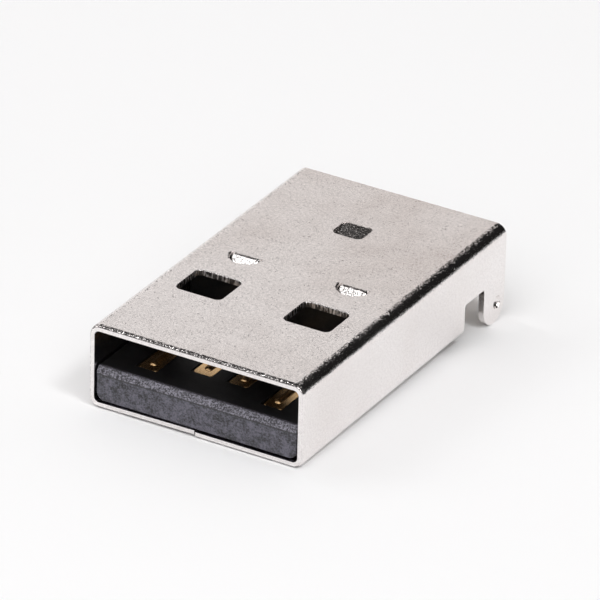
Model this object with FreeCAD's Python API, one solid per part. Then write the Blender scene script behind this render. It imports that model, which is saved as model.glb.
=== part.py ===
import FreeCAD, Part
import math
import os

# A male USB-A plug that is let into the edge of a circuit board: a folded sheet shell, one insulator
# moulding and four stamped contacts.
#
# Frame: +Z up, +X across, the mating end towards -Y. The origin is on the board's top face, midway
# between the two locating posts. The functions below measure from the mating end (y = 0) and from the
# shell's underside (z = 0), and to_frame moves the finished pieces. All lengths are in millimetres.

Vector = FreeCAD.Vector
ALONG = Vector(0, 1, 0)

# Folded shell
SHELL_WIDTH = 12.0
SHELL_HEIGHT = 4.5
SHELL_LENGTH = 19.8
SHEET = 0.3
BEND_RADIUS = 0.58         # outside of the four bends
SEAM_GAP = 0.05            # butt seam along the middle of the floor
SEAM_STEP = 0.08           # the left half of the floor ends this much higher than the right
LEAD_RADIUS = 0.4          # rolled lead-in round the mouth
LEAD_ANGLE = 30.0          # how far the roll turns before the rim's edge
RIM_EDGE_RADIUS = 0.08

# Windows through the roof and the floor
ROOF_PUNCH_SHIFT = -0.14   # of all that is punched through the roof, from the plug's middle
WINDOW_WIDTH = 2.55
WINDOW_LENGTH = 2.25
WINDOW_START = 5.35        # from the mating end
WINDOW_SPACING = 6.07      # centre to centre
WINDOW_CORNER = 0.3
DIE_ROLL = 0.06            # rounded outer rim that the punch leaves

# Half-moon lances in the roof, sheared along their round front and bent down about their straight rear end
LANCE_SPACING = 6.1
LANCE_WIDTH = 1.62
LANCE_LENGTH = 0.88
LANCE_HINGE_Y = 10.12
LANCE_ANGLE = 24.0
LANCE_BEND_RADIUS = 0.5
LANCE_ROLL = 0.14          # rounded rim of the roof along the shear

# Locking tab at the rear of the roof, sheared on three sides and bent down about its rear end
TAB_WIDTH = 1.7
TAB_LENGTH = 1.45
TAB_HINGE_SETBACK = 3.9    # hinge line to the shell's rear edge
TAB_ANGLE = 15.0
TAB_CORNER = 0.35
TAB_BEND_RADIUS = 0.6
TONGUE_SLIT = 0.02         # shear line between the roof and a lance or the tab
LANCE_EDGE = 0.18          # rounded upper edge of a lance
TAB_EDGE = 0.06            # rounded upper edge of the tab

# Side walls and board legs
LEG_WIDTH = 2.1
LEG_LENGTH = 2.35          # below the board's top face
NOTCH_LENGTH = 1.95        # along the board, in front of each leg
NOTCH_CORNER = 0.15
FLOOR_SETBACK = 1.25       # end of the floor in front of the notch
WALL_STEP = 0.3            # lower edge of the walls behind the floor's end
DIMPLE_DIAMETER = 0.7
DIMPLE_DEPTH = 0.25
DIMPLE_BELOW_SEAT = 1.3
DIMPLE_BEHIND_MIDDLE = 0.3

# Contacts
CAVITY_HEIGHT = 1.95       # from the contact beads to the roof
CONTACT_THICKNESS = 0.3
CONTACT_WIDTH = 1.15
INNER_CONTACT_X = 1.0
OUTER_CONTACT_X = 3.5
INNER_REACH = 6.41         # tip to the block's front face
OUTER_REACH = 7.41
TIP_CORNER = 0.25
EDGE_BEVEL = 0.05
BEAD_WIDTH = 0.45
BEAD_HEIGHT = 0.13
BEAD_SETBACK = 0.5         # behind the tip
BEAD_STOP = 0.6            # in front of the block
GROOVE_WIDTH = 0.3         # on the underside of the bead
BARB_BITE = 0.08
BARB_LENGTH = 0.5
BARB_SPACING = 1.1
BARB_START = 1.8           # behind the block's front face
BARB_COUNT = 2
SHOULDER_BACK = 4.6        # behind the block's front face
SHOULDER_LENGTH = 0.3
TAIL_WIDTH = 0.9
TAIL_OUT = 1.0             # behind the shell's rear edge
CONTACT_PLAY = 0.03

# Insulator
BLOCK_START = 8.65
BLOCK_PLAY = 0.03          # to the shell's roof and walls
BLOCK_SETBACK = 0.9        # rear face in front of the shell's rear edge
BLOCK_LEAD = 0.2           # bevel over the tongue's root
UNDERSIDE_PLAY = 0.1       # above the floor, clear of the seam's step
FOOT_PLAY = 0.1            # to the end of the floor, and to the board's front edge
LEDGE_RISE = 0.25          # of the ledge between the floor's end and the board
TONGUE_RECESS = 0.05
TONGUE_PLAY = 0.09         # to each side wall
TONGUE_BELOW_BEADS = 0.08
TONGUE_TOP_BEVEL = 0.24    # along the tongue
TONGUE_TOP_DROP = 0.3      # down its front face
TONGUE_KEEL_RADIUS = 0.45  # lower long edges
TONGUE_NOSE_RADIUS = 0.1   # round the front face
POCKET_PLAY = 0.08         # round the lances and the tab
CORE_WIDTH = 4.2           # cored-out pockets in the rear face
CORE_HEIGHT = 0.9
CORE_DEPTH = 2.2
CORE_RIB = 1.2             # between the two pockets
CORE_ROOF = 0.6
CORE_CORNER = 0.2
POST_DIAMETER = 1.0
POST_SPACING = 4.5
POST_BACK = 1.45           # behind the board's front edge
POST_LENGTH = 1.2
POST_BEVEL = 0.2

# Levels and stations that several pieces share
ROOF_INSIDE = SHELL_HEIGHT - SHEET
BEAD_TOP = ROOF_INSIDE - CAVITY_HEIGHT
CONTACT_TOP = BEAD_TOP - BEAD_HEIGHT
SEAT_Z = CONTACT_TOP - CONTACT_THICKNESS
LEG_FRONT = SHELL_LENGTH - LEG_WIDTH
NOTCH_FRONT = LEG_FRONT - NOTCH_LENGTH
FLOOR_END = NOTCH_FRONT - FLOOR_SETBACK
TAB_HINGE_Y = SHELL_LENGTH - TAB_HINGE_SETBACK
BLOCK_END = SHELL_LENGTH - BLOCK_SETBACK
BLOCK_TOP = ROOF_INSIDE - BLOCK_PLAY
BLOCK_WIDTH = SHELL_WIDTH - 2 * (SHEET + BLOCK_PLAY)
BLOCK_CORNER = BEND_RADIUS - SHEET - BLOCK_PLAY
TONGUE_TOP = BEAD_TOP - TONGUE_BELOW_BEADS
TONGUE_UNDER = SHEET + UNDERSIDE_PLAY
TONGUE_WIDTH = SHELL_WIDTH - 2 * (SHEET + TONGUE_PLAY)
POST_Y = NOTCH_FRONT + POST_BACK
TAIL_END = SHELL_LENGTH + TAIL_OUT

CUT_MARGIN = 1.0           # how far a cutting solid stands past what it cuts


def box(x_low, x_high, y_low, y_high, z_low, z_high):
    """A block between two corners."""
    size = (x_high - x_low, y_high - y_low, z_high - z_low)
    return Part.makeBox(*size, Vector(x_low, y_low, z_low))


def prism(points, push):
    """A closed outline of points, pushed along a vector."""
    return Part.Face(Part.makePolygon(points + points[:1])).extrude(push)


def edges_where(shape, test):
    """The edges of a shape whose two ends both pass a test."""
    return [edge for edge in shape.Edges if edge.Vertexes and all(test(v.Point) for v in edge.Vertexes)]


def near(value, target):
    """True if a coordinate is at a target within the modelling tolerance."""
    return abs(value - target) < 1e-4


def rounded_plate(width, length, corner, centre_x, y_low, z_low, z_high):
    """A flat plate with four rounded corners, standing between two levels."""
    half = width / 2
    plate = box(centre_x - half, centre_x + half, y_low, y_low + length, z_low, z_high)
    upright = edges_where(plate, lambda p: True)
    upright = [edge for edge in upright if near(edge.Length, z_high - z_low) and near(edge.tangentAt(0).x, 0)
               and near(edge.tangentAt(0).y, 0)]
    return plate.makeFillet(corner, upright)


def sheet_section(start, inward):
    """The sheet's section along the plug, with the rolled lead-in and its rounded edge at the mating end."""
    def at(depth, y):
        return start + inward * depth + ALONG * y

    def on_arc(radius, centre_depth, centre_y, angle):
        return at(centre_depth - radius * math.cos(angle), centre_y - radius * math.sin(angle))

    turn = math.radians(LEAD_ANGLE)
    lead_length = RIM_EDGE_RADIUS + (LEAD_RADIUS - RIM_EDGE_RADIUS) * math.sin(turn)
    edge_depth = LEAD_RADIUS - (LEAD_RADIUS - RIM_EDGE_RADIUS) * math.cos(turn)
    lead = (LEAD_RADIUS, LEAD_RADIUS, lead_length)
    edge = (RIM_EDGE_RADIUS, edge_depth, RIM_EDGE_RADIUS)
    roof, lead_end, rim = on_arc(*lead, 0), on_arc(*lead, turn), on_arc(*edge, math.pi / 2)
    edges = [
        Part.Arc(roof, on_arc(*lead, turn / 2), lead_end).toShape(),
        Part.Arc(lead_end, on_arc(*edge, (turn + math.pi / 2) / 2), rim).toShape(),
        Part.makeLine(rim, at(SHEET, 0)),
        Part.makeLine(at(SHEET, 0), at(SHEET, SHELL_LENGTH)),
        Part.makeLine(at(SHEET, SHELL_LENGTH), at(0, SHELL_LENGTH)),
        Part.makeLine(at(0, SHELL_LENGTH), roof),
    ]
    return Part.Face(Part.Wire(edges))


def folded_tube():
    """The sheet folded into a tube: five plates and the four bends between them, open at the seam."""
    half = SHELL_WIDTH / 2
    corners = [
        Vector(SEAM_GAP / 2, 0, 0), Vector(half, 0, 0), Vector(half, 0, SHELL_HEIGHT),
        Vector(-half, 0, SHELL_HEIGHT), Vector(-half, 0, 0), Vector(-SEAM_GAP / 2, 0, SEAM_STEP),
    ]
    ways = [(b - a).normalize() for a, b in zip(corners, corners[1:])]
    turns = [a.getAngle(b) for a, b in zip(ways, ways[1:])]
    trims = [0] + [BEND_RADIUS * math.tan(turn / 2) for turn in turns] + [0]
    tube = None
    for i, way in enumerate(ways):
        inward = Vector(-way.z, 0, way.x)
        start = corners[i] + way * trims[i]
        end = corners[i + 1] - way * trims[i + 1]
        pieces = [sheet_section(start, inward).extrude(end - start)]
        if i < len(turns):
            axis = end + inward * BEND_RADIUS
            pieces.append(sheet_section(end, inward).revolve(axis, -ALONG, math.degrees(turns[i])))
        tube = pieces[0].fuse(pieces[1:]) if tube is None else tube.fuse(pieces)
    return tube.removeSplitter()


def leg(side):
    """One board leg: the side wall carried down to a half-round tip."""
    tip_radius = LEG_WIDTH / 2
    tip_centre = SEAT_Z - LEG_LENGTH + tip_radius
    middle = LEG_FRONT + tip_radius
    x = side * SHELL_WIDTH / 2
    edges = [
        Part.makeLine(Vector(x, SHELL_LENGTH, tip_centre), Vector(x, SHELL_LENGTH, SEAT_Z)),
        Part.makeLine(Vector(x, SHELL_LENGTH, SEAT_Z), Vector(x, LEG_FRONT, SEAT_Z)),
        Part.makeLine(Vector(x, LEG_FRONT, SEAT_Z), Vector(x, LEG_FRONT, tip_centre)),
        Part.Arc(Vector(x, LEG_FRONT, tip_centre), Vector(x, middle, tip_centre - tip_radius),
                 Vector(x, SHELL_LENGTH, tip_centre)).toShape(),
    ]
    return Part.Face(Part.Wire(edges)).extrude(Vector(-side * SHEET, 0, 0))


def add_walls_and_legs(tube):
    """Cut the floor and the walls back for the board, then add the legs."""
    reach = SHELL_WIDTH / 2 + CUT_MARGIN
    rear = SHELL_LENGTH + CUT_MARGIN
    bend_x = SHELL_WIDTH / 2 - BEND_RADIUS
    kept_from = math.acos(1 - WALL_STEP / BEND_RADIUS)
    outside_x = bend_x + 2 * BEND_RADIUS * math.sin(kept_from)
    outside_z = BEND_RADIUS - 2 * BEND_RADIUS * math.cos(kept_from)
    right = [(bend_x, BEND_RADIUS), (outside_x, outside_z), (outside_x, -CUT_MARGIN)]
    below_walls = prism([Vector(x, FLOOR_END, z) for x, z in right]
                        + [Vector(-x, FLOOR_END, z) for x, z in reversed(right)], ALONG * (rear - FLOOR_END))
    board_room = box(-reach, reach, NOTCH_FRONT, rear, -CUT_MARGIN, SEAT_Z)
    body = tube.cut([below_walls, board_room]).fuse([leg(-1), leg(1)]).removeSplitter()
    corners = edges_where(body, lambda p: near(p.z, SEAT_Z)
                          and (near(p.y, NOTCH_FRONT) or near(p.y, LEG_FRONT)))
    across = [edge for edge in corners if near(edge.Length, SHEET)]
    return body.makeFillet(NOTCH_CORNER, across)


def add_leg_dimples(body):
    """Dents punched into the outside of the legs, with their bumps inside."""
    radius = ((DIMPLE_DIAMETER / 2) ** 2 + DIMPLE_DEPTH ** 2) / (2 * DIMPLE_DEPTH)
    y = LEG_FRONT + LEG_WIDTH / 2 + DIMPLE_BEHIND_MIDDLE
    z = SEAT_Z - DIMPLE_BELOW_SEAT
    for side in (-1, 1):
        centre = Vector(side * (SHELL_WIDTH / 2 + radius - DIMPLE_DEPTH), y, z)
        bump = Part.makeSphere(radius + SHEET, centre)
        wall_middle = side * (SHELL_WIDTH - SHEET) / 2
        inside = side * (SHELL_WIDTH / 2 - SHEET - CUT_MARGIN)
        keep = box(min(wall_middle, inside), max(wall_middle, inside), y - CUT_MARGIN, y + CUT_MARGIN,
                   z - CUT_MARGIN, z + CUT_MARGIN)
        body = body.fuse(bump.common(keep)).cut(Part.makeSphere(radius, centre))
    return body


def window_plate(x, z_low, z_high):
    """The outline of one window, as a plate between two levels."""
    return rounded_plate(WINDOW_WIDTH, WINDOW_LENGTH, WINDOW_CORNER, x, WINDOW_START, z_low, z_high)


def add_windows(body):
    """Two windows through the roof, with a rolled rim outside, and two through the floor."""
    for side in (-1, 1):
        x = side * WINDOW_SPACING / 2
        above = (ROOF_INSIDE - CUT_MARGIN, SHELL_HEIGHT + CUT_MARGIN)
        body = body.cut(window_plate(x + ROOF_PUNCH_SHIFT, *above))
        body = body.cut(window_plate(x, -CUT_MARGIN, SHEET + CUT_MARGIN))
    rim = edges_where(body, lambda p: near(p.z, SHELL_HEIGHT)
                      and WINDOW_START - DIE_ROLL < p.y < WINDOW_START + WINDOW_LENGTH + DIE_ROLL
                      and abs(p.x) < SHELL_WIDTH / 2 - BEND_RADIUS - DIE_ROLL)
    return body.makeFillet(DIE_ROLL, rim)


def lance_middle(side):
    """Place of a lance across the plug."""
    return side * LANCE_SPACING / 2 + ROOF_PUNCH_SHIFT


def lance_outline(side, play, z_low, z_high):
    """A half-moon plate, round towards the mating end and straight at its hinge, smaller by a play."""
    radius = LANCE_WIDTH / 2 - play
    x, round_y = lance_middle(side), LANCE_HINGE_Y - LANCE_LENGTH + LANCE_WIDTH / 2
    left_hinge, left = Vector(x - radius, LANCE_HINGE_Y, z_low), Vector(x - radius, round_y, z_low)
    right_hinge, right = Vector(x + radius, LANCE_HINGE_Y, z_low), Vector(x + radius, round_y, z_low)
    edges = [
        Part.makeLine(left_hinge, left),
        Part.Arc(left, Vector(x, round_y - radius, z_low), right).toShape(),
        Part.makeLine(right, right_hinge),
        Part.makeLine(right_hinge, left_hinge),
    ]
    return Part.Face(Part.Wire(edges)).extrude(Vector(0, 0, z_high - z_low))


def tab_outline(play, z_low, z_high):
    """The outline of the tab as a plate with four rounded corners, smaller all round by a play."""
    return rounded_plate(TAB_WIDTH - 2 * play, TAB_LENGTH - 2 * play, TAB_CORNER - play, ROOF_PUNCH_SHIFT,
                         TAB_HINGE_Y - TAB_LENGTH + play, z_low, z_high)


def bent_tongue(outline, x, width, length, hinge_y, turn, radius, edge_radius):
    """The roof inside an outline, bent down about a line at its rear, with its upper edge rounded."""
    angle = math.radians(turn)
    centre = Vector(x - width / 2, hinge_y, SHELL_HEIGHT - radius)
    forward = Vector(0, -math.cos(angle), -math.sin(angle))
    upward = Vector(0, -math.sin(angle), math.cos(angle))

    def bent(depth):
        """Start, middle and end of the bend at a depth in the sheet, and the end of the straight part."""
        points = [centre + Vector(0, -math.sin(a), math.cos(a)) * (radius - depth)
                  for a in (0, angle / 2, angle)]
        return points + [points[-1] + forward * 2 * length]

    top, under = bent(0), bent(SHEET)
    edges = [
        Part.Arc(*top[:3]).toShape(),
        Part.makeLine(top[2], top[3]),
        Part.makeLine(top[3], under[3]),
        Part.makeLine(under[3], under[2]),
        Part.Arc(under[2], under[1], under[0]).toShape(),
        Part.makeLine(under[0], top[0]),
    ]
    tongue = Part.Face(Part.Wire(edges)).extrude(Vector(width, 0, 0)).common(outline)
    upper = edges_where(tongue, lambda p: near((p - top[2]).dot(upward), 0))
    sheared = [edge for edge in upper if not near(edge.CenterOfMass.y, top[2].y)]
    return tongue.makeFillet(edge_radius, sheared)


def add_lances(body):
    """Shear the two half-moon lances out of the roof along their fronts and bend them down."""
    low, high = ROOF_INSIDE - CUT_MARGIN, SHELL_HEIGHT + CUT_MARGIN
    body = body.cut([lance_outline(side, 0, low, high) for side in (-1, 1)])
    rim = edges_where(body, lambda p: near(p.z, SHELL_HEIGHT)
                      and LANCE_HINGE_Y - LANCE_LENGTH - LANCE_ROLL < p.y < LANCE_HINGE_Y + LANCE_ROLL
                      and abs(p.x) < SHELL_WIDTH / 2 - BEND_RADIUS - LANCE_ROLL)
    sheared = [edge for edge in rim if edge.BoundBox.YLength > LANCE_ROLL / 2]
    body = body.makeFillet(LANCE_ROLL, sheared)
    for side in (-1, 1):
        outline = lance_outline(side, TONGUE_SLIT, low, high)
        body = body.fuse(bent_tongue(outline, lance_middle(side), LANCE_WIDTH, LANCE_LENGTH,
                                     LANCE_HINGE_Y, LANCE_ANGLE, LANCE_BEND_RADIUS, LANCE_EDGE))
    return body


def add_locking_tab(body):
    """Shear the tab out of the roof on three sides and bend it down about its rear end."""
    low, high = ROOF_INSIDE - CUT_MARGIN, SHELL_HEIGHT + CUT_MARGIN
    hinge_half = TAB_WIDTH / 2 - TAB_CORNER - TONGUE_SLIT
    hinge = box(ROOF_PUNCH_SHIFT - hinge_half, ROOF_PUNCH_SHIFT + hinge_half,
                TAB_HINGE_Y - TAB_CORNER, TAB_HINGE_Y, low, high)
    tab = bent_tongue(tab_outline(TONGUE_SLIT, low, high).fuse(hinge), ROOF_PUNCH_SHIFT, TAB_WIDTH,
                      TAB_LENGTH, TAB_HINGE_Y, TAB_ANGLE, TAB_BEND_RADIUS, TAB_EDGE)
    return body.cut(tab_outline(0, low, high)).fuse(tab)


def shell():
    """The folded shell."""
    body = add_walls_and_legs(folded_tube())
    body = add_leg_dimples(body)
    body = add_windows(body)
    body = add_lances(body)
    return add_locking_tab(body)


def bead(width, height, base_z, tip_y, round_nosed):
    """A long bead standing on a level, over one contact's middle, with round or square ends."""
    radius = ((width / 2) ** 2 + height ** 2) / (2 * height)
    axis_z = base_z + height - radius
    nose = tip_y + BEAD_SETBACK + width / 2
    stop = BLOCK_START - BEAD_STOP - width / 2
    bar = Part.makeCylinder(radius, stop - nose, Vector(0, nose, axis_z), ALONG)
    above = box(-width, width, nose - width, stop + width, base_z, base_z + 2 * height)
    if round_nosed:
        bar = bar.fuse([Part.makeSphere(radius, Vector(0, y, axis_z)) for y in (nose, stop)])
    return bar.common(above)


def contact(reach):
    """One stamped contact on the centreline: blade, embossed bead, barbs, shoulder and flat tail."""
    tip_y = BLOCK_START - reach
    blade, tail = CONTACT_WIDTH / 2, TAIL_WIDTH / 2
    shoulder = BLOCK_START + SHOULDER_BACK
    right = [(tip_y, blade)]
    for i in range(BARB_COUNT):
        y = BLOCK_START + BARB_START + i * BARB_SPACING
        right += [(y, blade), (y + BARB_LENGTH, blade + CONTACT_PLAY + BARB_BITE), (y + BARB_LENGTH, blade)]
    right += [(shoulder, blade), (shoulder + SHOULDER_LENGTH, tail), (TAIL_END, tail)]
    outline = [Vector(x, y, SEAT_Z) for y, x in right] + [Vector(-x, y, SEAT_Z) for y, x in reversed(right)]
    blank = prism(outline, Vector(0, 0, CONTACT_THICKNESS))
    tip = edges_where(blank, lambda p: near(p.y, tip_y))
    blank = blank.makeFillet(TIP_CORNER, [edge for edge in tip if near(edge.Length, CONTACT_THICKNESS)])
    top_edges = edges_where(blank, lambda p: near(p.z, CONTACT_TOP)
                            and p.y < BLOCK_START + BARB_START + EDGE_BEVEL)
    blank = blank.makeChamfer(EDGE_BEVEL, top_edges)
    raised = bead(BEAD_WIDTH, BEAD_HEIGHT, CONTACT_TOP, tip_y, True)
    groove = bead(GROOVE_WIDTH, BEAD_HEIGHT, SEAT_Z, tip_y, False)
    return blank.fuse(raised).cut(groove).removeSplitter()


def contact_places():
    """Name, place across the plug and reach in front of the block of each contact."""
    return [
        ("contact_outer_left", -OUTER_CONTACT_X, OUTER_REACH),
        ("contact_inner_left", -INNER_CONTACT_X, INNER_REACH),
        ("contact_inner_right", INNER_CONTACT_X, INNER_REACH),
        ("contact_outer_right", OUTER_CONTACT_X, OUTER_REACH),
    ]


def contact_room(x, reach):
    """The channel and tunnel that one contact slides into, open below where it lies on the board."""
    half = CONTACT_WIDTH / 2 + CONTACT_PLAY
    top = CONTACT_TOP + CONTACT_PLAY
    tip_y = BLOCK_START - reach - CONTACT_PLAY
    shoulder_end = BLOCK_START + SHOULDER_BACK + SHOULDER_LENGTH
    channel = box(x - half, x + half, tip_y, BLOCK_START, SEAT_Z, TONGUE_TOP + CUT_MARGIN)
    tunnel = box(x - half, x + half, BLOCK_START, shoulder_end, SEAT_Z, top)
    tail_half = TAIL_WIDTH / 2 + CONTACT_PLAY
    rear = box(x - tail_half, x + tail_half, shoulder_end, BLOCK_END + CUT_MARGIN, SEAT_Z, top)
    return channel.fuse([tunnel, rear])


def tongue():
    """The thin front of the moulding, which carries the contacts into the mouth."""
    front = TONGUE_RECESS
    half = TONGUE_WIDTH / 2
    bar = box(-half, half, front, BLOCK_START + CUT_MARGIN, TONGUE_UNDER, TONGUE_TOP)
    keel = edges_where(bar, lambda p: near(p.z, TONGUE_UNDER))
    bar = bar.makeFillet(TONGUE_KEEL_RADIUS, [edge for edge in keel if near(edge.tangentAt(0).x, 0)])
    nose = [edge for edge in edges_where(bar, lambda p: near(p.y, front))
            if not near(edge.CenterOfMass.z, TONGUE_TOP)]
    bar = bar.makeFillet(TONGUE_NOSE_RADIUS, nose)
    slope = TONGUE_TOP_BEVEL / TONGUE_TOP_DROP
    left, top = -half - CUT_MARGIN, TONGUE_TOP + TONGUE_TOP_DROP
    wedge = prism([
        Vector(left, front - CUT_MARGIN * slope, TONGUE_TOP - TONGUE_TOP_DROP - CUT_MARGIN),
        Vector(left, front + 2 * TONGUE_TOP_BEVEL, top),
        Vector(left, front - CUT_MARGIN * slope, top),
    ], Vector(TONGUE_WIDTH + 2 * CUT_MARGIN, 0, 0))
    return bar.cut(wedge)


def block():
    """The full-height rear of the moulding: fills the shell, steps up to the board and lies on it."""
    half = BLOCK_WIDTH / 2
    foot_end = FLOOR_END - FOOT_PLAY
    ledge_z = WALL_STEP + LEDGE_RISE
    ledge_end = NOTCH_FRONT - FOOT_PLAY
    side_view = [
        Vector(-half, BLOCK_START, TONGUE_UNDER), Vector(-half, foot_end, TONGUE_UNDER),
        Vector(-half, foot_end, ledge_z), Vector(-half, ledge_end, ledge_z),
        Vector(-half, ledge_end, SEAT_Z), Vector(-half, BLOCK_END, SEAT_Z),
        Vector(-half, BLOCK_END, BLOCK_TOP), Vector(-half, BLOCK_START, BLOCK_TOP),
    ]
    body = prism(side_view, Vector(BLOCK_WIDTH, 0, 0))
    long_edges = [edge for edge in body.Edges if near(abs(edge.tangentAt(0).y), 1)
                  and (near(edge.BoundBox.ZMax, BLOCK_TOP) or near(edge.BoundBox.ZMin, TONGUE_UNDER))]
    body = body.makeFillet(BLOCK_CORNER, long_edges)
    lead = edges_where(body, lambda p: near(p.z, BLOCK_TOP) and near(p.y, BLOCK_START))
    return body.makeChamfer(BLOCK_LEAD, lead)


def core_pockets():
    """Two pockets that core out the thick rear of the block."""
    pockets = []
    z_high = BLOCK_TOP - CORE_ROOF
    for side in (-1, 1):
        x = side * (CORE_RIB + CORE_WIDTH) / 2
        pocket = box(x - CORE_WIDTH / 2, x + CORE_WIDTH / 2, BLOCK_END - CORE_DEPTH, BLOCK_END + CUT_MARGIN,
                     z_high - CORE_HEIGHT, z_high)
        pockets.append(pocket.makeFillet(CORE_CORNER, [edge for edge in pocket.Edges
                                                       if near(abs(edge.tangentAt(0).y), 1)]))
    return pockets


def roof_pockets():
    """Pockets in the block's roof that take the lances and the locking tab."""
    places = [(ROOF_PUNCH_SHIFT, TAB_WIDTH, TAB_LENGTH, TAB_HINGE_Y, TAB_ANGLE)]
    for side in (-1, 1):
        places.append((lance_middle(side), LANCE_WIDTH, LANCE_LENGTH, LANCE_HINGE_Y, LANCE_ANGLE))
    pockets = []
    for x, width, length, hinge_y, turn in places:
        half = width / 2 + POCKET_PLAY
        drop = length * math.tan(math.radians(turn)) + SHEET + POCKET_PLAY
        pockets.append(box(x - half, x + half, hinge_y - length - POCKET_PLAY, hinge_y + SHEET,
                           SHELL_HEIGHT - drop, SHELL_HEIGHT))
    return pockets


def post(side):
    """One locating post under the shelf, with a bevelled end."""
    foot = SEAT_Z - POST_LENGTH
    pin = Part.makeCylinder(POST_DIAMETER / 2, POST_LENGTH, Vector(side * POST_SPACING / 2, POST_Y, foot))
    return pin.makeChamfer(POST_BEVEL, edges_where(pin, lambda p: near(p.z, foot))[:1])


def insulator(contacts):
    """The one-piece moulding, cut for its contacts and for what the shell presses into it."""
    body = tongue().fuse(block()).cut(core_pockets() + roof_pockets())
    body = body.cut([contact_room(x, reach) for _, x, reach in contact_places()]).cut(contacts)
    return body.fuse([post(-1), post(1)]).removeSplitter()


def to_frame(piece):
    """Move a finished piece from the mating end's corner to the board frame."""
    return piece.translated(Vector(0, -POST_Y, -SEAT_Z))


def main():
    os.makedirs("parts", exist_ok=True)
    pieces = {name: contact(reach).translated(Vector(x, 0, 0)) for name, x, reach in contact_places()}
    pieces["insulator"] = insulator(list(pieces.values()))
    pieces["shell"] = shell()
    for name, piece in pieces.items():
        to_frame(piece).exportStep("parts/" + name + ".step")


main()
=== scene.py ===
"""Looks and studio of a plug that is let into the edge of a circuit board.

The packed CAD model is the frame. The folded shell and the moulding keep their shapes and get their finishes
here: satin nickel plate, and a glass-filled black plastic. The four contacts are stamped again with Geometry
Nodes, at the places of their solids and with rounder bead ends, and get gold plate. Everything is in metres in
the CAD frame: +Z up from the board, +X across the plug, the mating end towards -Y.
"""
import math

import bpy
from bpy.props import FloatProperty, FloatVectorProperty, PointerProperty
from mathutils import Matrix, Vector


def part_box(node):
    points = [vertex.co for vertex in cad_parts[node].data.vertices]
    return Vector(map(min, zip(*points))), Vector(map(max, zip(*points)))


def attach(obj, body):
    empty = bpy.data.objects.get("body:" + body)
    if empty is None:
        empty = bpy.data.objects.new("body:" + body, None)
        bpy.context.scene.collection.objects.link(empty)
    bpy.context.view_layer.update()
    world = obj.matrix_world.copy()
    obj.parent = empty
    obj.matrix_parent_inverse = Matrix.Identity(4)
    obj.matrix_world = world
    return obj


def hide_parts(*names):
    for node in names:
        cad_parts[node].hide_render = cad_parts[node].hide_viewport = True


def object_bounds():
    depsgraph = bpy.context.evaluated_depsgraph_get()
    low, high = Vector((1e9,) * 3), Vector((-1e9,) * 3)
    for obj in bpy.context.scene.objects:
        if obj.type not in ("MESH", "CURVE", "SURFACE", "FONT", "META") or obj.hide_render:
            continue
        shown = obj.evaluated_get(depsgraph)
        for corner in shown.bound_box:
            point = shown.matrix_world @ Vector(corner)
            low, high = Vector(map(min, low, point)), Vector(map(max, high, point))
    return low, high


bl_info = {
    "name": "Board plug",
    "version": (1, 0, 0),
    "blender": (4, 5, 0),
    "location": "View3D > Sidebar > Board plug",
    "description": "Finishes and stamped contacts of a board-mounted plug, and the studio around it",
    "category": "Object",
}

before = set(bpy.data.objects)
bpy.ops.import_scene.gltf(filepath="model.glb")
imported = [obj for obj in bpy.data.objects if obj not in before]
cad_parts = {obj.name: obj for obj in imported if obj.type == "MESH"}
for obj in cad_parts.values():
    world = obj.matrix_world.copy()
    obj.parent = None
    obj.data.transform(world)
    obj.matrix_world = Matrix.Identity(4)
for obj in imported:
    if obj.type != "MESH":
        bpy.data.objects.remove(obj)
CAD_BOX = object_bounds()
MM = 0.001
CONTACTS = ("contact_outer_left", "contact_inner_left", "contact_inner_right", "contact_outer_right")

RIM_DEPTH = 0.9 * MM           # how far back the shell's rolled rim reaches
ROOF_CUT_DEPTH = 0.6 * MM      # below the roof, within which the windows' sheared sides lie
WINDOW_INSET = 0.7 * MM        # from a side wall to the part of the roof that is cut
WINDOWS_FROM = 1.0 * MM        # from the mouth, behind the rim
WINDOWS_TO = 8.8 * MM          # from the mouth, before the lances
PAINTED_SHADE_FROM = 5 * MM             # from the mouth to where the painted shade on the roof begins
FRONT_REFLECTION_DEPTH = 0.45 * MM        # how far back the moulding's front gets its painted reflection of the floor
SHADOW_LINE_DEPTH = 0.1 * MM        # below the moulding's upper bevel, where a painted shadow line on its front begins
SHADOW_LINE_FADE = 0.07 * MM        # and where that painted shadow is fully dark

BLOCK_Y = -8.55 * MM           # front face of the block that holds the contacts
TIP_STEPS = 6                  # faces round each corner of a contact's tip
BEAD_SETBACK = 0.5 * MM        # from a contact's tip to its bead
BEAD_STOP = 0.6 * MM           # from the bead's rear end to the block
ROD_SEGMENTS = 24              # faces round the rod that forms a bead or its groove
ROD_RINGS = 11
ROD_FOOT = 0.4                 # share of its radius by which that rod reaches below its axis
WELD_REACH = 0.0005 * MM       # within which the corners of a contact's two halves are joined
FIRST_BARB_Y = -6.75 * MM
BARB_COUNT = 2
BARB_LENGTH = 0.5 * MM
BARB_SPACING = 1.1 * MM
SHOULDER_Y = -3.95 * MM        # where a contact narrows to its tail
SHOULDER_LENGTH = 0.3 * MM
SHARP_ANGLE = math.radians(30)  # past which an edge of a contact is shaded sharp

FLOOR_FRONT_Y = -17.2 * MM     # the shell's lower front edge stands here
FLOOR_FRONT_Z = -1.82 * MM
FLOOR_LEGS_Y = 1.55 * MM       # and the two legs here
FLOOR_LEGS_Z = -2.35 * MM
FLOOR_REACH = 3.0              # from the plug to the floor's edges
FLOOR_EASE = 15 * MM           # over which the slope under the plug eases out to level
FLOOR_STRIPS = 12              # strips of the floor over which it eases out

LAMP_AIM = Vector((0, -7.5 * MM, 0))
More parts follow.
